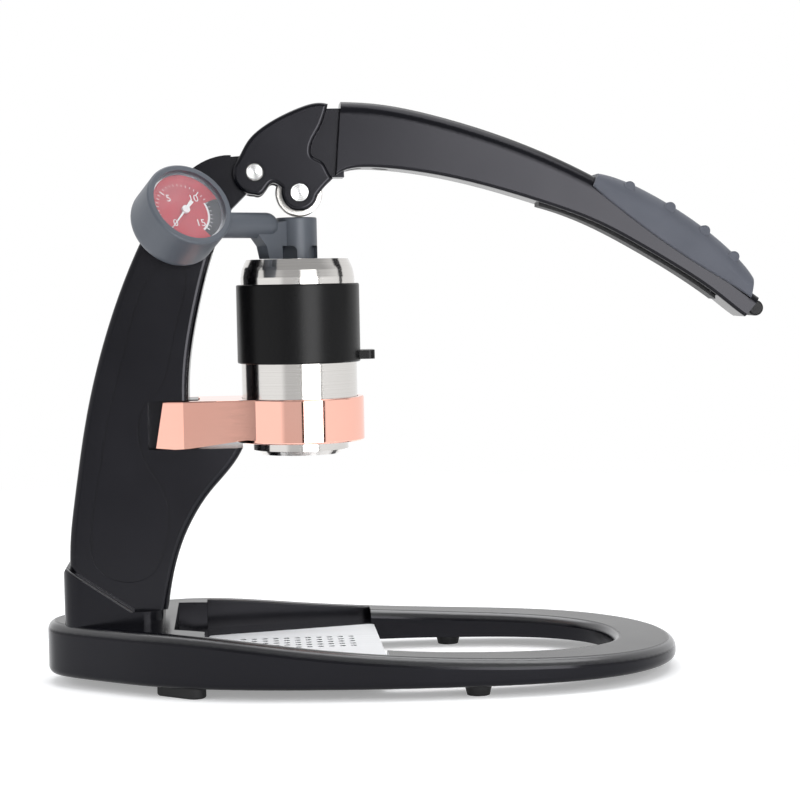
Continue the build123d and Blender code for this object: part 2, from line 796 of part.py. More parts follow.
def cylinder_sleeve():
    inner = sleeve_radius - sleeve_wall
    profile = [(inner, sleeve_bottom_z), (sleeve_radius, sleeve_bottom_z), (sleeve_radius, sleeve_top_z),
               (inner, sleeve_top_z)]
    body = turned(profile, brew_axis_x)
    body = fillet(body.edges().filter_by(GeomType.CIRCLE).group_by(SortBy.RADIUS)[-1], sleeve_edge_radius)
    tab = Pos(brew_axis_x + (inner + tab_end) / 2, 0, (tab_low_z + tab_high_z) / 2) * Box(
        tab_end - inner - over, 2 * tab_half, tab_high_z - tab_low_z)
    tab = fillet(tab.edges().filter_by(Axis.Z).group_by(Axis.X)[-1], tab_corner)
    return body + tab


# Piston, stem and gauge

def oring_heights():
    return (piston_bottom_z + oring_inset, piston_bottom_z + piston_height - oring_inset)


def piston():
    r = bore_radius - piston_gap
    body = upright(r, piston_bottom_z, piston_bottom_z + piston_height, brew_axis_x)
    body = fillet(body.edges().filter_by(GeomType.CIRCLE), piston_edge_radius)
    for z in oring_heights():
        cut = upright(r + over, z - oring_section, z + oring_section, brew_axis_x)
        cut -= upright(bore_radius - seal_gap - 2 * oring_section, 0, beyond, brew_axis_x)
        body -= cut
    return body - upright(stem_radius, piston_bottom_z + stem_seat, beyond, brew_axis_x)


def piston_seals():
    ring = Torus(bore_radius - seal_gap - oring_section, oring_section)
    return Compound(children=[Pos(brew_axis_x, 0, z) * ring for z in oring_heights()])


def stem():
    body = upright(stem_radius, piston_bottom_z + stem_seat, stem_top_z, brew_axis_x)
    return body - upright(stem_bore_radius, piston_bottom_z, stem_top_z - stem_bore_end, brew_axis_x)


def stem_nut():
    low = piston_bottom_z + piston_height
    nut = extrude(Pos(brew_axis_x, 0, low) * RegularPolygon(nut_corner_radius, 6), amount=nut_height)
    return nut - upright(stem_radius, 0, beyond, brew_axis_x)


def thrust_button():
    low = stem_top_z
    cap = upright(thrust_radius, low, low + thrust_cap, brew_axis_x)
    return fillet(cap.faces().sort_by(Axis.Z)[-1].edges(), thrust_edge_radius)


def arm_plane():
    """Plane standing along the arm: its x runs outwards from the stem."""
    a = math.radians(180 + arm_angle)
    out = (math.cos(a), math.sin(a), 0)
    return Plane(origin=(brew_axis_x, 0, 0), x_dir=out, z_dir=(out[1], -out[0], 0))


def gauge_centre():
    a = math.radians(180 + arm_angle)
    return (brew_axis_x + gauge_reach * math.cos(a), gauge_reach * math.sin(a), gauge_z)


def gauge_plane(along):
    """Plane across the gauge's axis, a distance along it from the gauge's centre."""
    n = Vector(*gauge_normal).normalized()
    return Plane(origin=Vector(*gauge_centre()) + n * along, x_dir=(n.Y, -n.X, 0), z_dir=n)


def gauge_disc(radius, start, end):
    return extrude(gauge_plane(start) * Circle(radius), amount=end - start)


def case_space_back():
    return gauge_back - gauge_behind


def stem_housing():
    body = upright(housing_radius, housing_bottom_z, housing_top_z, brew_axis_x)
    body = fillet(body.faces().sort_by(Axis.Z)[-1].edges(), housing_edge_radius)
    plane = arm_plane()
    bar_length = gauge_reach - arm_start
    bar = Rot(0, 90, 0) * Cylinder(arm_radius, bar_length)
    bar = plane * Pos(arm_start + bar_length / 2, arm_z, 0) * bar
    nose = plane * Pos(arm_start, arm_z, 0) * Sphere(arm_radius)
    gusset = plane * make_face(Polyline(
        (0, housing_bottom_z), (arm_web_low, housing_bottom_z), arm_web_bend, arm_web_join,
        (arm_start, arm_z + over), (0, housing_top_z - housing_edge_radius - rest_gap), close=True))
    body += extrude(gusset, amount=arm_web_half, both=True)
    cup = gauge_disc(gauge_radius, -gauge_behind, gauge_ahead)
    cup = fillet(cup.edges().filter_by(GeomType.CIRCLE).sort_by(Axis.Z)[0], gauge_round)
    cup = fillet(cup.edges().filter_by(GeomType.CIRCLE).sort_by(Axis.Z)[-1], gauge_lip_radius)
    body += bar + nose + cup
    body -= gauge_disc(gauge_radius - gauge_wall, case_space_back(), gauge_ahead + over)
    body -= upright(stem_radius + shaft_gap, 0, beyond, brew_axis_x)
    body -= upright(thrust_radius + shaft_gap, stem_top_z - rest_gap, beyond, brew_axis_x)
    for turn in window_turns:
        body -= Pos(brew_axis_x, 0, 0) * Rot(0, 0, turn - 90) * housing_window()
    return body


def housing_window():
    """A recess with a rounded top in the housing's wall, looking along +X."""
    height = 2 * (window_top_z - housing_bottom_z)
    plan = RectangleRounded(2 * window_half, height, window_corner)
    start = stem_radius + shaft_gap + window_wall
    return extrude(Plane.YZ.offset(start) * Pos(0, housing_bottom_z) * plan, amount=window_reach - start)


def gauge_case():
    back = case_space_back() + rest_gap
    r = gauge_radius - gauge_wall - shaft_gap
    body = gauge_disc(r, back, back + case_depth)
    return body - gauge_disc(r - case_wall, back + case_wall, back + case_depth + over)


def dial_back():
    return case_space_back() + rest_gap + case_depth


def gauge_dial():
    disc = gauge_disc(gauge_radius - gauge_wall - shaft_gap, dial_back(), dial_back() + dial_thick)
    front = dial_back() + dial_thick + over
    return disc - gauge_disc(needle_spindle_radius + shaft_gap, dial_back() - over, front)


def gauge_bezel():
    start = dial_back() + dial_thick
    r = gauge_radius - gauge_wall - shaft_gap
    ring = gauge_disc(r, start, start + bezel_depth)
    return ring - gauge_disc(r - bezel_wall, start - over, start + bezel_depth + over)


def gauge_lens():
    start = dial_back() + dial_thick + bezel_depth
    return gauge_disc(gauge_radius - gauge_wall - shaft_gap, start, start + lens_thick)


def gauge_needle():
    start = dial_back() + dial_thick + needle_above_dial
    plane = gauge_plane(start) * Rot(0, 0, needle_turn)
    blade = make_face(Polyline((-needle_tail, -needle_width), (needle_length, -needle_tip_half),
                               (needle_length, needle_tip_half), (-needle_tail, needle_width), close=True))
    body = extrude(plane * blade, amount=needle_thick)
    body += gauge_disc(needle_hub_radius, start, start + needle_thick + needle_hub_rise)
    return body + gauge_disc(needle_spindle_radius, dial_back() - needle_spindle_end, start)


# Drip tray

def plate_bottom_z():
    return deck_top_z + rest_gap


def rounded(face):
    return fillet(face.vertices(), tray_corner)


def drip_tray_cover():
    z = plate_bottom_z()
    plate = extrude(Pos(0, 0, z) * rounded(tray_outline(0)), amount=tray_plate)
    x0 = tray_field_x - tray_hole_pitch_x * (tray_hole_columns - 1) / 2
    y0 = -tray_hole_pitch_y * (tray_hole_rows - 1) / 2
    holes = []
    for i in range(tray_hole_columns):
        for j in range(tray_hole_rows):
            x = x0 + i * tray_hole_pitch_x
            y = y0 + j * tray_hole_pitch_y
            holes.append(upright(tray_hole_radius, z - over, z + tray_plate + over, x, y))
    return plate - holes


def drip_tray_pan():
    low = base_bottom_z + deck_floor + slip_gap
    high = plate_bottom_z()
    outer = extrude(Pos(0, 0, low) * tray_outline(-tray_shelf), amount=high - low)
    inner = extrude(Pos(0, 0, low + pan_wall) * tray_outline(-tray_shelf - pan_wall), amount=high)
    return outer - inner


def post_bolts():
    bolts = []
    for x in post_bolt_x:
        seat = base_bottom_z + post_bolt_head
        head = upright(post_bolt_head_radius, base_bottom_z + rest_gap, seat, x)
        hexagon = Pos(x, 0, 0) * RegularPolygon(bolt_socket_radius, 6)
        socket = extrude(hexagon, amount=base_bottom_z + bolt_socket_depth)
        bolts.append(head + upright(post_bolt_radius, seat, seat + post_bolt_length, x) - socket)
    return Compound(children=bolts)


def main():
    os.makedirs("parts", exist_ok=True)
    save(base_ring(), "base_ring")
    for name, (x, y) in zip(("foot_front_far", "foot_front_near"), foot_places()[:2]):
        save(front_foot_solid(x, y), name)
    for name, (x, y) in zip(("foot_rear_far", "foot_rear_near"), foot_places()[2:]):
        save(rear_foot_solid(x, y), name)
    save(post(), "post")
    save(post_bolts(), "post_bolts")
    save(drip_tray_pan(), "drip_tray_pan")
    save(drip_tray_cover(), "drip_tray_cover")
    save(lever_bracket(), "lever_bracket")
    save(pin(pivot, pivot_pin_radius), "pivot_pin")
    save(cap_screws(pivot, screw_head_radius), "pivot_screws")
    save(pin(roller_centre, roller_bore_radius), "roller_pin")
    save(cap_screws(roller_centre, roller_screw_head_radius), "roller_screws")
    save(roller(), "roller")
    save(lever_handle(), "lever_handle")
    save(handle_screws(), "handle_screws")
    save(strip_channel(strip_depth, strip_proud), "handle_underside_strip")
    save(grip(), "handle_grip")
    save(cap_solid(), "handle_end_cap")
    save(portafilter_holder(), "portafilter_holder")
    save(portafilter_cup(), "portafilter_cup")
    save(filter_basket(), "filter_basket")
    save(dispersion_screen(), "dispersion_screen")
    save(cylinder_seal(), "cylinder_seal")
    save(brew_cylinder(), "brew_cylinder")
    save(cylinder_sleeve(), "cylinder_sleeve")
    save(piston(), "piston")
    save(piston_seals(), "piston_seals")
    save(stem(), "stem")
    save(stem_nut(), "stem_nut")
    save(thrust_button(), "thrust_button")
    save(stem_housing(), "stem_housing")
    save(gauge_case(), "gauge_case")
    save(gauge_dial(), "gauge_dial")
    save(gauge_bezel(), "gauge_bezel")
    save(gauge_lens(), "gauge_lens")
    save(gauge_needle(), "gauge_needle")


main()
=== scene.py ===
import json
from math import cos, pi, radians, sin

import bpy
from mathutils import Matrix, Vector


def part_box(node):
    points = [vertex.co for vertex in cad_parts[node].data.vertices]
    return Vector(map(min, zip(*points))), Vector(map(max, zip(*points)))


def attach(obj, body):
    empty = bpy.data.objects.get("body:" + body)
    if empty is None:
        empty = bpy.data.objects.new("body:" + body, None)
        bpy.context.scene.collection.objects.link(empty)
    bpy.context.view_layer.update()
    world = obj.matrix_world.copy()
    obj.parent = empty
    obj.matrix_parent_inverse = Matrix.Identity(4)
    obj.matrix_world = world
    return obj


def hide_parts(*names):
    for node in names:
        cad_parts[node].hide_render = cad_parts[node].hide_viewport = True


# Looks of a hand-lever espresso maker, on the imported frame. Metres, +Z up, -Y the side the gauge looks to.

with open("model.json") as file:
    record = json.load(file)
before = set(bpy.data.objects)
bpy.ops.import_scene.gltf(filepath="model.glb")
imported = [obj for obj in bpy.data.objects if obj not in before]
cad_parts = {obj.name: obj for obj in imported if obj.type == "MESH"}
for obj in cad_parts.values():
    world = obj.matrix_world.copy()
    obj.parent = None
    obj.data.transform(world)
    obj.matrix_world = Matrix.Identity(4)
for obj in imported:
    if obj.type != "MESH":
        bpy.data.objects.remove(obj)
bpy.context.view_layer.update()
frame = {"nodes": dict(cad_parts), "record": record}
nodes = frame["nodes"]
mm = 0.001
print("frame loaded:", len(nodes), "nodes")


# Shader maths: a wired socket takes part in ordinary sums

class Wire:
    def __init__(self, kit, socket):
        self.kit = kit
        self.socket = socket

    def maths(self, operation, a, b=None, c=None):
        values = {i: v for i, v in enumerate((a, b, c)) if v is not None}
        return self.kit.add("Math", {"operation": operation}, values)

    def __add__(self, other):
        return self.maths("ADD", self, other)

    __radd__ = __add__

    def __mul__(self, other):
        return self.maths("MULTIPLY", self, other)

    __rmul__ = __mul__

    def __sub__(self, other):
        return self.maths("SUBTRACT", self, other)

    def __rsub__(self, other):
        return self.maths("SUBTRACT", other, self)

    def __truediv__(self, other):
        return self.maths("DIVIDE", self, other)

    def over(self, limit):
        return self.maths("GREATER_THAN", self, limit)

    def under(self, limit):
        return self.maths("LESS_THAN", self, limit)

    def power(self, exponent):
        return self.maths("POWER", self, exponent)

    def absolute(self):
        return self.maths("ABSOLUTE", self)

    def sine(self):
        return self.maths("SINE", self)

    def cosine(self):
        return self.maths("COSINE", self)

    def remainder(self, step):
        return self.maths("MODULO", self, step)

    def angleTo(self, other):
        return self.maths("ARCTAN2", self, other)

    def fit(self, low, high, toLow=0.0, toHigh=1.0):
        limits = {"From Min": low, "From Max": high, "To Min": toLow, "To Max": toHigh}
        return self.kit.add("MapRange", {}, {"Value": self, **limits}, "Result")


class Kit:
    def __init__(self, tree):
        self.tree = tree
        self.tree.nodes.clear()

    def add(self, kind, settings=None, sockets=None, output=0):
        node = self.tree.nodes.new(kind if "Node" in kind else "ShaderNode" + kind)
        for key, value in (settings or {}).items():
            if key == "stops":
                self.setStops(node.color_ramp, value)
            else:
                setattr(node, key, value)
        for key, value in (sockets or {}).items():
            socket = node.inputs[key]
            if isinstance(value, Wire):
                self.tree.links.new(value.socket, socket)
            elif socket.type == "RGBA" and len(value) == 3:
                socket.default_value = opaque(value)
            else:
                socket.default_value = value
        return Wire(self, node.outputs[output]) if node.outputs else node

    def setStops(self, ramp, stops):
        while len(ramp.elements) < len(stops):
            ramp.elements.new(0.5)
        for element, (place, tone) in zip(ramp.elements, stops):
            element.position = place
            element.color = opaque(tone)

    def place(self, scale=(1, 1, 1), centre=(0, 0, 0)):
        spot = self.add("TexCoord", {}, {}, "Object")
        shift = tuple(-c * s for c, s in zip(centre, scale))
        return self.add("Mapping", {}, {"Vector": spot, "Scale": scale, "Location": shift})

    def noise(self, vector, scale, detail=3.0, rough=0.5):
        sockets = {"Vector": vector, "Scale": scale, "Detail": detail, "Roughness": rough}
        return self.add("TexNoise", {}, sockets)

    def mixColour(self, factor, a, b):
        return self.add("Mix", {"data_type": "RGBA"}, {0: factor, 6: a, 7: b}, 2)

    def ramp(self, value, *stops):
        return self.add("ValToRGB", {"stops": stops}, {"Fac": value})

    def ray(self, kind):
        return self.add("LightPath", {}, {}, "Is " + kind + " Ray")

    def axes(self, vector):
        split = self.add("SeparateXYZ", {}, {"Vector": vector})
        return [Wire(self, socket) for socket in split.socket.node.outputs]


class Finish(Kit):
    def __init__(self, name, **constants):
        self.material = bpy.data.materials.new(name)
        self.material.use_nodes = True
        super().__init__(self.material.node_tree)
        self.end = self.add("OutputMaterial")
        self.shell = self.tree.nodes.new("ShaderNodeBsdfPrincipled")
        self.tree.links.new(self.shell.outputs[0], self.end.inputs["Surface"])
        for key, value in constants.items():
            self.shell.inputs[key].default_value = value

    def wire(self, **links):
        for key, value in links.items():
            self.tree.links.new(value.socket, self.shell.inputs[key.replace("_", " ")])

    def bump(self, height, distance, strength=1.0):
        self.wire(Normal=self.add("Bump", {}, {"Height": height, "Distance": distance, "Strength": strength}))
        return self


def opaque(colour):
    return (*colour, 1.0)


# Finishes

# Satin black coat. The shoulder, where the surface leans outwards, can have a glossier layer on top
def satinBlack(name, level, shoulder=0.0):
    look = {"low": (0.0022, 0.0023, 0.0036), "high": (0.0034, 0.0035, 0.0054), "cloud": 24.0, "grain": 1500.0,
            "bump": 0.00002, "shine": 0.17, "dull": 0.22, "tint": (0.93, 0.92, 1.0),
            "coatBend": 2.0, "coatDull": 0.30, "coatTint": (0.97, 0.98, 1.0), "lean": (0.20, 0.45, 0.93, 0.99)}
    f = Finish(name, **{"Specular IOR Level": level, "Specular Tint": opaque(look["tint"]),
                        "Coat IOR": look["coatBend"], "Coat Roughness": look["coatDull"],
                        "Coat Tint": opaque(look["coatTint"])})
    spot = f.place()
    cloud = f.noise(spot, look["cloud"], 4.0)
    speck = f.noise(spot, look["grain"], 2.0)
    f.wire(Base_Color=f.ramp(cloud, (0.3, look["low"]), (0.75, look["high"])),
           Roughness=cloud.fit(0.3, 0.7, look["shine"], look["dull"]))
    if shoulder:
        up = f.axes(f.add("TexCoord", {}, {}, "Normal"))[2]
        start, full, fall, end = look["lean"]
        f.wire(Coat_Weight=up.fit(start, full, 0.0, shoulder) * up.fit(fall, end, 1.0, 0.0))
    f.bump(speck, look["bump"], 0.3)
    return f.material


# Rubber and plastic in plain black, with fine specks
def plainBlack(name, rough, grain, dark=0.008, shine=0.4):
    look = {"low": (1.0, 1.0, 1.1), "high": (1.7, 1.7, 1.9), "bump": 0.00004}
    f = Finish(name, **{"Specular IOR Level": shine})
    speck = f.noise(f.place(), grain, 3.0)
    low, high = (tuple(dark * share for share in look[end]) for end in ("low", "high"))
    f.wire(Base_Color=f.ramp(speck, (0.35, low), (0.7, high)),
           Roughness=speck.fit(0.3, 0.7, rough - 0.05, rough + 0.06))
    f.bump(speck, look["bump"], 0.35)
    return f.material


def slateGrey():
    look = {"low": (0.080, 0.091, 0.110), "high": (0.096, 0.107, 0.126), "cloud": 40.0, "grain": 2600.0,
            "shine": 0.36, "dull": 0.48, "bump": 0.00003}
    f = Finish("slateGreyPlastic", **{"Specular IOR Level": 0.45})
    spot = f.place()
    speck = f.noise(spot, look["grain"], 2.0)
    cloud = f.noise(spot, look["cloud"], 3.0)
    f.wire(Base_Color=f.ramp(cloud, (0.3, look["low"]), (0.7, look["high"])),
           Roughness=speck.fit(0.3, 0.7, look["shine"], look["dull"]))
    f.bump(speck, look["bump"], 0.5)
    return f.material


def gripRubber():
    look = {"low": (0.074, 0.080, 0.099), "high": (0.088, 0.094, 0.115), "cloud": 55.0, "grain": 2200.0,
            "shine": 0.50, "dull": 0.64, "bump": 0.00004}
    f = Finish("gripRubber", **{"Specular IOR Level": 0.35, "Sheen Weight": 0.10, "Sheen Roughness": 0.5})
    spot = f.place()
    speck = f.noise(spot, look["grain"], 3.0)
    cloud = f.noise(spot, look["cloud"], 3.0)
    f.wire(Base_Color=f.ramp(cloud, (0.3, look["low"]), (0.7, look["high"])),
           Roughness=speck.fit(0.3, 0.7, look["shine"], look["dull"]))
    f.bump(speck, look["bump"], 0.6)
    return f.material


def copperMirror():
    look = {"low": (0.99, 0.530, 0.430), "high": (0.995, 0.560, 0.460), "cloud": 30.0,
            "hair": (160.0, 160.0, 1400.0), "shine": 0.035, "dull": 0.07, "bump": 0.00006}
    f = Finish("polishedCopper", Metallic=1.0)
    cloud = f.noise(f.place(), look["cloud"], 3.0)
    hair = f.noise(f.place(look["hair"]), 1.0, 2.0)
    f.wire(Base_Color=f.ramp(cloud, (0.3, look["low"]), (0.7, look["high"])),
           Roughness=hair.fit(0.3, 0.7, look["shine"], look["dull"]))
    f.bump(cloud, look["bump"], 0.05)
    return f.material


# Steel with fine rings round an upright axis, slightly warm
def turnedSteel(name, rough, ringScale, dark):
    look = {"warm": (1.0, 0.965, 0.93), "rise": (0.09, 0.075, 0.055), "spread": 0.08, "bump": 0.00002}
    f = Finish(name, Metallic=1.0)
    ring = f.noise(f.place((2.0, 2.0, ringScale)), 1.0, 4.0, 0.6)
    low = tuple(dark * share for share in look["warm"])
    high = tuple(dark + rise for rise in look["rise"])
    f.wire(Base_Color=f.ramp(ring, (0.3, low), (0.72, high)),
           Roughness=ring.fit(0.3, 0.7, rough, rough + look["spread"]))
    f.bump(ring, look["bump"], 0.2)
    return f.material


# Screw heads faced on a lathe: rings about their axis, which runs along Y. Their colour is a painted
# highlight: lighter and darker wedges round the axis, like a bow-tie glint
def turnedFace(name, x, z):
    look = {"rings": 7000.0, "dark": 0.42, "light": 0.86, "shine": 0.16, "dull": 0.26, "bump": 0.00002}
    f = Finish(name, Metallic=1.0)
    px, pz = f.axes(f.place(centre=(x, 0.0, z)))[::2]
    radius = (px * px + pz * pz).power(0.5)
    ring = (radius * look["rings"]).sine()
    # Painted highlight: the base colour goes light and dark in wedges by angle round the screw's axis
    paintedGlint = (pz.angleTo(px) * 2.0 + 0.9).sine()
    level = paintedGlint.fit(-1.0, 1.0, look["dark"], look["light"])
    f.wire(Base_Color=f.add("CombineColor", {}, {0: level, 1: level, 2: level}),
           Roughness=ring.fit(-1.0, 1.0, look["shine"], look["dull"]))
    f.bump(ring, look["bump"], 0.3)
    return f.material


def brushedPlate():
    look = {"low": (0.74, 0.75, 0.77), "high": (0.88, 0.89, 0.91), "hair": (14.0, 1500.0, 60.0),
            "shine": 0.30, "dull": 0.42, "bump": 0.00003}
    f = Finish("brushedPlate", Metallic=1.0)
    hair = f.noise(f.place(look["hair"]), 1.0, 4.0, 0.6)
    f.wire(Base_Color=f.ramp(hair, (0.3, look["low"]), (0.72, look["high"])),
           Roughness=hair.fit(0.3, 0.7, look["shine"], look["dull"]))
    f.bump(hair, look["bump"], 0.25)
    return f.material


def chromeTrim():
    look = {"low": (0.78, 0.79, 0.81), "high": (0.86, 0.87, 0.88), "cloud": 220.0, "shine": 0.05, "dull": 0.10}
    f = Finish("chromeTrim", Metallic=1.0)
    cloud = f.noise(f.place(), look["cloud"], 2.0)
    f.wire(Base_Color=f.ramp(cloud, (0.3, look["low"]), (0.7, look["high"])),
           Roughness=cloud.fit(0.3, 0.7, look["shine"], look["dull"]))
    return f.material


# Gauge glass as a pale sheet, mostly see-through, in patches from noise: its whitish veil over the dial is a
# painted reflection, on top of the real gloss
def clearGlass():
    look = {"tint": (0.9, 0.93, 1.0), "cloud": 90.0, "thin": 0.13, "thick": 0.16}
    f = Finish("gaugeGlass", **{"Base Color": opaque(look["tint"]), "Roughness": 0.02,
                                "Specular IOR Level": 1.0})
    cloud = f.noise(f.place(), look["cloud"], 2.0)
    f.wire(Alpha=cloud.fit(0.3, 0.7, look["thin"], look["thick"]))
    return f.material


def paintedWhite(name):
    look = {"low": (0.76, 0.76, 0.76), "high": (0.83, 0.83, 0.83), "grain": 900.0, "shine": 0.30, "dull": 0.42}
    f = Finish(name)
    speck = f.noise(f.place(), look["grain"], 2.0)
    f.wire(Base_Color=f.ramp(speck, (0.3, look["low"]), (0.7, look["high"])),
           Roughness=speck.fit(0.3, 0.7, look["shine"], look["dull"]))
    return f.material


# Red card with a black stretch over the highest numbers, drawn in the dial's own UV
def dialPrint():
    look = {"from": -0.35, "to": 0.95, "inner": 0.34, "arc": 0.014, "black": (0.010, 0.010, 0.012),
            "line": (0.8, 0.8, 0.8), "low": (0.44, 0.010, 0.022), "high": (0.50, 0.015, 0.032)}
    f = Finish("dialPrint", **{"Specular IOR Level": 0.4})
    x, y = (axis - 0.5 for axis in f.axes(f.add("TexCoord", {}, {}, "UV"))[:2])
    radius = (x * x + y * y).power(0.5)
    clock = y.angleTo(x) * -1.0                     # 0 to the right, growing clockwise
    stretch = clock.over(look["from"]) * clock.under(look["to"])
    black = stretch * radius.over(look["inner"])
    arc = stretch * (radius - look["inner"]).absolute().under(look["arc"])
    cloud = f.noise(f.place(), 300.0, 2.0)
    red = f.ramp(cloud, (0.3, look["low"]), (0.7, look["high"]))
    card = f.mixColour(black, red, look["black"])
    f.wire(Base_Color=f.mixColour(arc, card, look["line"]), Roughness=cloud.fit(0.3, 0.7, 0.42, 0.5))
    return f.material


finishes = {
    "black_casting": satinBlack("satinBlackCoat", 0.27),
    "black_plastic": plainBlack("mattBlackPlastic", 0.48, 1800.0, 0.005, 0.25),
    "grey_rubber": gripRubber(),
    "foot_rubber": plainBlack("footRubber", 0.6, 1200.0),
    "plain_steel": turnedSteel("machinedSteel", 0.20, 900.0, 0.58),
    "brushed_steel": brushedPlate(),
    "copper_finish": copperMirror(),
    "polished_steel": turnedSteel("fineTurnedSteel", 0.085, 2600.0, 0.64),
    "seal_rubber": plainBlack("sealRubber", 0.5, 1500.0),
    "sleeve_silicone": plainBlack("sleeveSilicone", 0.32, 2400.0, 0.003, 0.16),
    "grey_plastic": slateGrey(),
    "dial_face": dialPrint(),
    "chrome_trim": chromeTrim(),
    "clear_glass": clearGlass(),
    "needle_white": paintedWhite("needleWhite"),
}
print("finishes made:", len(finishes))

slotOf = {part["node"]: part["material_slot"] for part in frame["record"]["subparts"]}


def dress(obj, material):
    obj.data.materials.clear()
    obj.data.materials.append(material)


def jointOf(name):
    return next(j for j in frame["record"]["behaviour"]["joints"] if j["name"] == name)


for name, obj in nodes.items():
    dress(obj, finishes[slotOf[name]])
dress(nodes["base_ring"], satinBlack("satinBlackBase", 0.22, 0.75))
for name, joint in (("pivot_screws", "lever_hinge"), ("roller_screws", "roller_spin")):
    x, y, z = jointOf(joint)["pos_m"]
    dress(nodes[name], turnedFace(name.replace("_", "") + "Face", x, z))


# Gauge: the printed dial, its marks, the needle and a slightly domed glass

gaugeAxis = Vector(jointOf("gauge_reading")["axis"]).normalized()
gaugeUp = (Vector((0, 0, 1)) - gaugeAxis * gaugeAxis.z).normalized()
gaugeRight = gaugeUp.cross(gaugeAxis)


def middle(node):
    low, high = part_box(node)
    return (low + high) / 2


# A place on the dial's face, from its centre, with the gauge seen upright
def onDial(across, up, out=0.0):
    return dialFace + gaugeRight * across + gaugeUp * up + gaugeAxis * out


def addMesh(name, mesh, body):
    obj = bpy.data.objects.new(name, mesh)
    bpy.context.scene.collection.objects.link(obj)
    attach(obj, body)
    return obj


def addPiece(name, vertices, faces, material, body, smooth=True):
    mesh = bpy.data.meshes.new(name)
    mesh.from_pydata([tuple(v) for v in vertices], [], faces)
    mesh.materials.append(material)
    if smooth:
        mesh.shade_smooth()
    return addMesh(name, mesh, body)


gauge = {"radius": 17.9 * mm, "dialThick": 0.8 * mm, "lensThick": 1.4 * mm, "dome": 1.3 * mm, "sides": 96,
         "rings": 10, "numbers": 4, "step": 5, "numberSize": 5.2 * mm, "numberReach": 9.2 * mm,
         "tickRise": 0.04 * mm, "numberRise": 0.05 * mm}
ticks = {"Count": 31, "Long every": 10, "Start": radians(225.0), "Sweep": radians(270.0), "Reach": 14.2 * mm,
         "Long length": 2.6 * mm, "Short length": 1.3 * mm, "Long width": 0.52 * mm, "Short width": 0.26 * mm}
dialFace = middle("gauge_dial") + gaugeAxis * gauge["dialThick"] / 2


def dialPiece():
    sides, r, thick = gauge["sides"], gauge["radius"], gauge["dialThick"]
    turns = [2 * pi * i / sides for i in range(sides)]
    front = [onDial(r * cos(a), r * sin(a)) for a in turns]
    back = [v - gaugeAxis * thick for v in front]
    faces = [tuple(range(sides)), tuple(reversed(range(sides, 2 * sides)))]
    faces += [(i, sides + i, sides + (i + 1) % sides, (i + 1) % sides) for i in range(sides)]
    dial = addPiece("dialCard", front + back, faces, finishes["dial_face"], "gauge_arm", False)
    layer = dial.data.uv_layers.new(name="face")
    for loop in dial.data.loops:
        a = turns[loop.vertex_index % sides]
        layer.data[loop.index].uv = (0.5 + 0.5 * cos(a), 0.5 + 0.5 * sin(a))
    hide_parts("gauge_dial")


# Carries a mesh made in the dial's plane to its place on the dial
def dialPlace(out, across=0.0, up=0.0):
    turn = Matrix((gaugeRight, gaugeUp, gaugeAxis)).transposed().to_4x4()
    return Matrix.Translation(onDial(across, up, out)) @ turn


def dialAngle(share):
    return ticks["Start"] - ticks["Sweep"] * share


def plainMesh(obj):
    bpy.context.scene.collection.objects.link(obj)
    bpy.context.view_layer.update()
    mesh = bpy.data.meshes.new_from_object(obj.evaluated_get(bpy.context.evaluated_depsgraph_get()))
    bpy.data.objects.remove(obj)
    return mesh


# Ring of ticks in the dial's own plane: one flat bar on each point of the scale
def tickTree():
    tree = bpy.data.node_groups.new("tickRing", "GeometryNodeTree")
    for name, value in ticks.items():
        kind = "NodeSocketInt" if isinstance(value, int) else "NodeSocketFloat"
        tree.interface.new_socket(name, in_out="INPUT", socket_type=kind)
    tree.interface.new_socket("Geometry", in_out="OUTPUT", socket_type="NodeSocketGeometry")
    kit = Kit(tree)
    given = tree.nodes.new("NodeGroupInput")
    size = {socket.name: Wire(kit, socket) for socket in given.outputs if socket.name}
    index = kit.add("GeometryNodeInputIndex")
    turn = size["Start"] - size["Sweep"] * index / (size["Count"] - 1)
    long = index.remainder(size["Long every"]).under(0.5)
    length = size["Short length"] + (size["Long length"] - size["Short length"]) * long
    width = size["Short width"] + (size["Long width"] - size["Short width"]) * long
    reach = size["Reach"] - length * 0.5
    spot = kit.add("CombineXYZ", {}, {0: turn.cosine() * reach, 1: turn.sine() * reach})
    points = kit.add("GeometryNodePoints", {}, {"Count": size["Count"], "Position": spot})
    bar = kit.add("GeometryNodeMeshGrid", {}, {"Size X": 1.0, "Size Y": 1.0, "Vertices X": 2, "Vertices Y": 2})
    placed = kit.add("GeometryNodeInstanceOnPoints", {}, {
        "Points": points, "Instance": bar, "Rotation": kit.add("CombineXYZ", {}, {2: turn}),
        "Scale": kit.add("CombineXYZ", {}, {0: length, 1: width, 2: 1.0})})
    whole = kit.add("GeometryNodeRealizeInstances", {}, {"Geometry": placed})
    painted = kit.add("GeometryNodeSetMaterial", {}, {"Geometry": whole, "Material": finishes["needle_white"]})
    kit.add("NodeGroupOutput", {}, {"Geometry": painted})
    return tree


def dialMarks():
    maker = bpy.data.objects.new("tickMaker", bpy.data.meshes.new("tickMaker"))
    modifier = maker.modifiers.new("tickRing", "NODES")
    modifier.node_group = tickTree()
    for item in modifier.node_group.interface.items_tree:
        if item.in_out == "INPUT":
            modifier[item.identifier] = ticks[item.name]
    mesh = plainMesh(maker)
    mesh.name = "dialTicks"
    mesh.transform(dialPlace(gauge["tickRise"]))
    addMesh("dialTicks", mesh, "gauge_arm")


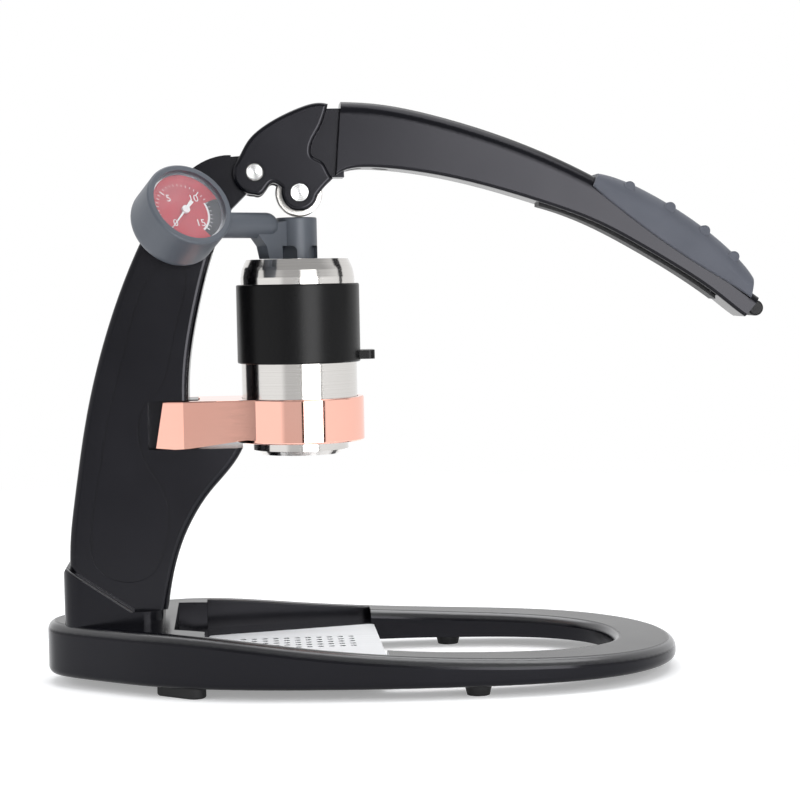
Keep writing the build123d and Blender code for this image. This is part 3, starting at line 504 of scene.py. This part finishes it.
def dialNumber(index):
    a = dialAngle(index / (gauge["numbers"] - 1))
    curve = bpy.data.curves.new("number", "FONT")
    curve.body = str(index * gauge["step"])
    curve.size = gauge["numberSize"]
    curve.align_x = "CENTER"
    curve.align_y = "CENTER"
    mesh = plainMesh(bpy.data.objects.new("number", curve))
    reach = gauge["numberReach"]
    mesh.transform(dialPlace(gauge["numberRise"], reach * cos(a), reach * sin(a)))
    vertices = [v.co.copy() for v in mesh.vertices]
    faces = [tuple(p.vertices) for p in mesh.polygons]
    bpy.data.meshes.remove(mesh)
    return vertices, faces


def dialNumbers():
    vertices, faces = [], []
    for index in range(gauge["numbers"]):
        points, shapes = dialNumber(index)
        base = len(vertices)
        vertices += points
        faces += [tuple(base + i for i in shape) for shape in shapes]
    addPiece("dialNumbers", vertices, faces, finishes["needle_white"], "gauge_arm", False)


# A thin pointer to the scale's zero, a broad tail and a round hub
def needlePiece():
    look = {"length": 12.6 * mm, "tail": 6.4 * mm, "root": 0.55 * mm, "tip": 0.16 * mm, "tailHalf": 0.95 * mm,
            "hub": 1.9 * mm, "hubDrop": 0.2 * mm, "hubRise": 1.0 * mm, "height": 0.9 * mm, "thick": 0.5 * mm,
            "sides": 32}
    a = dialAngle(0.0)
    along = gaugeRight * cos(a) + gaugeUp * sin(a)
    side = gaugeAxis.cross(along)
    outline = [(look["length"], -look["tip"]), (look["length"], look["tip"]), (0.0, look["root"]),
               (-look["tail"], look["tailHalf"]), (-look["tail"], -look["tailHalf"]), (0.0, -look["root"])]
    vertices, faces = [], []

    def plate(points, low, high):
        base, count = len(vertices), len(points)
        for level in (high, low):
            vertices.extend(dialFace + gaugeAxis * level + along * x + side * y for x, y in points)
        faces.append(tuple(range(base, base + count)))
        faces.append(tuple(reversed(range(base + count, base + 2 * count))))
        for i in range(count):
            j = (i + 1) % count
            faces.append((base + i, base + count + i, base + count + j, base + j))

    low = look["height"]
    plate(outline, low, low + look["thick"])
    turns = [2 * pi * i / look["sides"] for i in range(look["sides"])]
    hub = [(look["hub"] * cos(t), look["hub"] * sin(t)) for t in turns]
    plate(hub, low - look["hubDrop"], low + look["hubRise"])
    needle = addPiece("pointer", vertices, faces, finishes["needle_white"], "needle", False)
    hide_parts("gauge_needle")


def lensPiece():
    sides, rings, r = gauge["sides"], gauge["rings"], gauge["radius"]
    foot = middle("gauge_lens") - gaugeAxis * gauge["lensThick"] / 2
    vertices = [foot + gaugeAxis * (gauge["lensThick"] / 2 + gauge["dome"])]
    for ring in range(1, rings + 1):
        reach = ring / rings
        height = gauge["lensThick"] / 2 + gauge["dome"] * (1 - reach * reach)
        for i in range(sides):
            a = 2 * pi * i / sides
            vertices.append(foot + gaugeAxis * height + (gaugeRight * cos(a) + gaugeUp * sin(a)) * r * reach)
    faces = [(0, 1 + i, 1 + (i + 1) % sides) for i in range(sides)]
    for ring in range(rings - 1):
        for i in range(sides):
            a, b = 1 + ring * sides + i, 1 + ring * sides + (i + 1) % sides
            faces.append((a, a + sides, b + sides, b))
    lens = addPiece("domedLens", vertices, faces, finishes["clear_glass"], "gauge_arm")
    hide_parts("gauge_lens")


dialPiece()
dialMarks()
dialNumbers()
needlePiece()
lensPiece()
print("gauge made")


# Camera at the photograph's place

view = {"eye": (-81.7, -996.9, 189.1), "turn": 4.49, "down": 3.35, "roll": 1.09, "lens": 93.6, "sensor": 36.0,
        "clip": (0.05, 30.0)}


def makeCamera():
    data = bpy.data.cameras.new("camera")
    data.lens = view["lens"]
    data.sensor_width = view["sensor"]
    data.clip_start, data.clip_end = view["clip"]
    camera = bpy.data.objects.new("camera", data)
    bpy.context.scene.collection.objects.link(camera)
    a, p, r = radians(view["turn"]), radians(view["down"]), radians(view["roll"])
    ahead = Vector((sin(a) * cos(p), cos(a) * cos(p), -sin(p)))
    right = Vector((cos(a), -sin(a), 0.0))
    up = right.cross(ahead)
    x = right * cos(r) - up * sin(r)
    y = right * sin(r) + up * cos(r)
    turn = Matrix((x, y, -ahead)).transposed()
    camera.matrix_world = Matrix.Translation(Vector(view["eye"]) * mm) @ turn.to_4x4()
    bpy.context.scene.camera = camera


makeCamera()
print("camera placed")


# Studio: white surroundings that dim in front, and a soft box to the right of the camera

walls = {"back": 1.0, "side": 1.10, "front": 0.69, "box": 7.4, "edge": 0.05, "right": 1.08, "upperFront": 0.45,
         "upperBack": 0.95, "highBox": 3.0, "topBox": 2.8, "fill": 0.60, "sky": (0.96, 0.98, 1.0),
         "rise": (0.16, 0.42)}
# Where the two boxes overhead lie, as a direction, and how near a ray has to point
overhead = {"highBox": {"toward": (0.35, -0.10, 0.93), "near": (0.952, 0.968)},
            "topBox": {"toward": (0.0, 0.34, 0.94), "near": (0.87, 0.91)}}
# Degrees to the right of straight in front, and what stands there
wallStops = ((-180, "back"), (-115, "back"), (-100, "side"), (-38, "side"), (-29, "front"), (0.8, "front"),
             (1.4, "edge"), (4.4, "edge"), (5, "box"), (38, "box"), (39, "edge"), (42, "edge"),
             (44, "right"), (110, "back"), (180, "back"))
table = {"half": 6.0, "colour": (0.88, 0.88, 0.885), "glow": 0.30, "near": 0.42, "far": 1.0}
lamps = {"topBox": {"place": (0.05, 0.15, 1.3), "target": (0, 0, 0.1), "size": (1.5, 1.0), "watts": 11.0},
         "rightBox": {"place": (0.75, -1.0, 0.55), "target": (0, 0, 0.12), "size": (0.45, 0.7), "watts": 5.0},
         "leftBox": {"place": (-1.2, -0.45, 0.6), "target": (0, 0, 0.12), "size": (0.6, 0.9), "watts": 5.0}}
white = (1.0, 1.0, 1.0)


def makeWorld():
    world = bpy.data.worlds.new("studio")
    bpy.context.scene.world = world
    world.use_nodes = True
    kit = Kit(world.node_tree)
    x, y, z = kit.axes(kit.add("TexCoord", {}, {}, "Generated"))
    turn = x.angleTo(0 - y) * (180 / pi)

    def grey(name):
        return (walls[name],) * 3

    stops = [((degrees + 180) / 360, grey(name)) for degrees, name in wallStops]
    around = kit.ramp(turn.fit(-180, 180), *stops)
    above = kit.ramp(turn.absolute().fit(0, 180), (0.0, grey("upperFront")), (0.33, grey("upperFront")),
                     (0.62, grey("upperBack")), (1.0, grey("upperBack")))
    level = kit.mixColour(z.fit(*walls["rise"]), around, above)
    for name, box in overhead.items():
        a, b, c = box["toward"]
        level = kit.mixColour((x * a + y * b + z * c).fit(*box["near"]), level, grey(name))
    plain = kit.add("Background", {}, {"Color": walls["sky"], "Strength": walls["fill"]})
    shiny = kit.add("Background", {}, {"Color": level, "Strength": 1.0})
    clean = kit.add("Background", {}, {"Color": white, "Strength": 1.0})
    lit = kit.add("MixShader", {}, {0: kit.ray("Glossy"), 1: plain, 2: shiny})
    direct = kit.add("Math", {"operation": "MAXIMUM"}, {0: kit.ray("Camera"), 1: kit.ray("Transmission")})
    kit.add("OutputWorld", {}, {"Surface": kit.add("MixShader", {}, {0: direct, 1: lit, 2: clean})})


# A pale table top that fades into the white surroundings and isn't mirrored beyond its edge
def makeFloor():
    mesh = bpy.data.meshes.new("floor")
    half = table["half"]
    corners = [(-half, -half, 0), (half, -half, 0), (half, half, 0), (-half, half, 0)]
    mesh.from_pydata(corners, [], [(0, 1, 2, 3)])
    floor = bpy.data.objects.new("floor", mesh)
    bpy.context.scene.collection.objects.link(floor)
    material = bpy.data.materials.new("paleFloor")
    material.use_nodes = True
    kit = Kit(material.node_tree)
    x, y = kit.axes(kit.place())[:2]
    far = (x * x + y * y).power(0.5).fit(table["near"], table["far"])
    paint = kit.add("BsdfDiffuse", {}, {"Color": table["colour"]})
    glow = kit.add("Emission", {}, {"Color": white, "Strength": table["glow"]})
    top = kit.add("AddShader", {}, {0: paint, 1: glow})
    backdrop = kit.add("Emission", {}, {"Color": white, "Strength": 1.0})
    shown = kit.add("MixShader", {}, {0: far, 1: top, 2: backdrop})
    mirrored = kit.add("MixShader", {}, {0: far.over(0.25), 1: top, 2: kit.add("BsdfTransparent")})
    other = kit.add("MixShader", {}, {0: kit.ray("Glossy"), 1: paint, 2: mirrored})
    whole = kit.add("MixShader", {}, {0: kit.ray("Camera"), 1: other, 2: shown})
    kit.add("OutputMaterial", {}, {"Surface": whole})
    mesh.materials.append(material)


def makeLamp(name, place, target, size, watts):
    data = bpy.data.lights.new(name, "AREA")
    data.shape = "RECTANGLE"
    data.size, data.size_y = size
    data.energy = watts
    lamp = bpy.data.objects.new(name, data)
    lamp.location = place
    lamp.rotation_euler = (Vector(target) - Vector(place)).to_track_quat("-Z", "Y").to_euler()
    lamp.visible_camera = False
    lamp.visible_glossy = False
    bpy.context.scene.collection.objects.link(lamp)


makeWorld()
makeFloor()
for name, lamp in lamps.items():
    makeLamp(name, **lamp)
bpy.context.scene.view_settings.view_transform = "Standard"
print("studio ready")
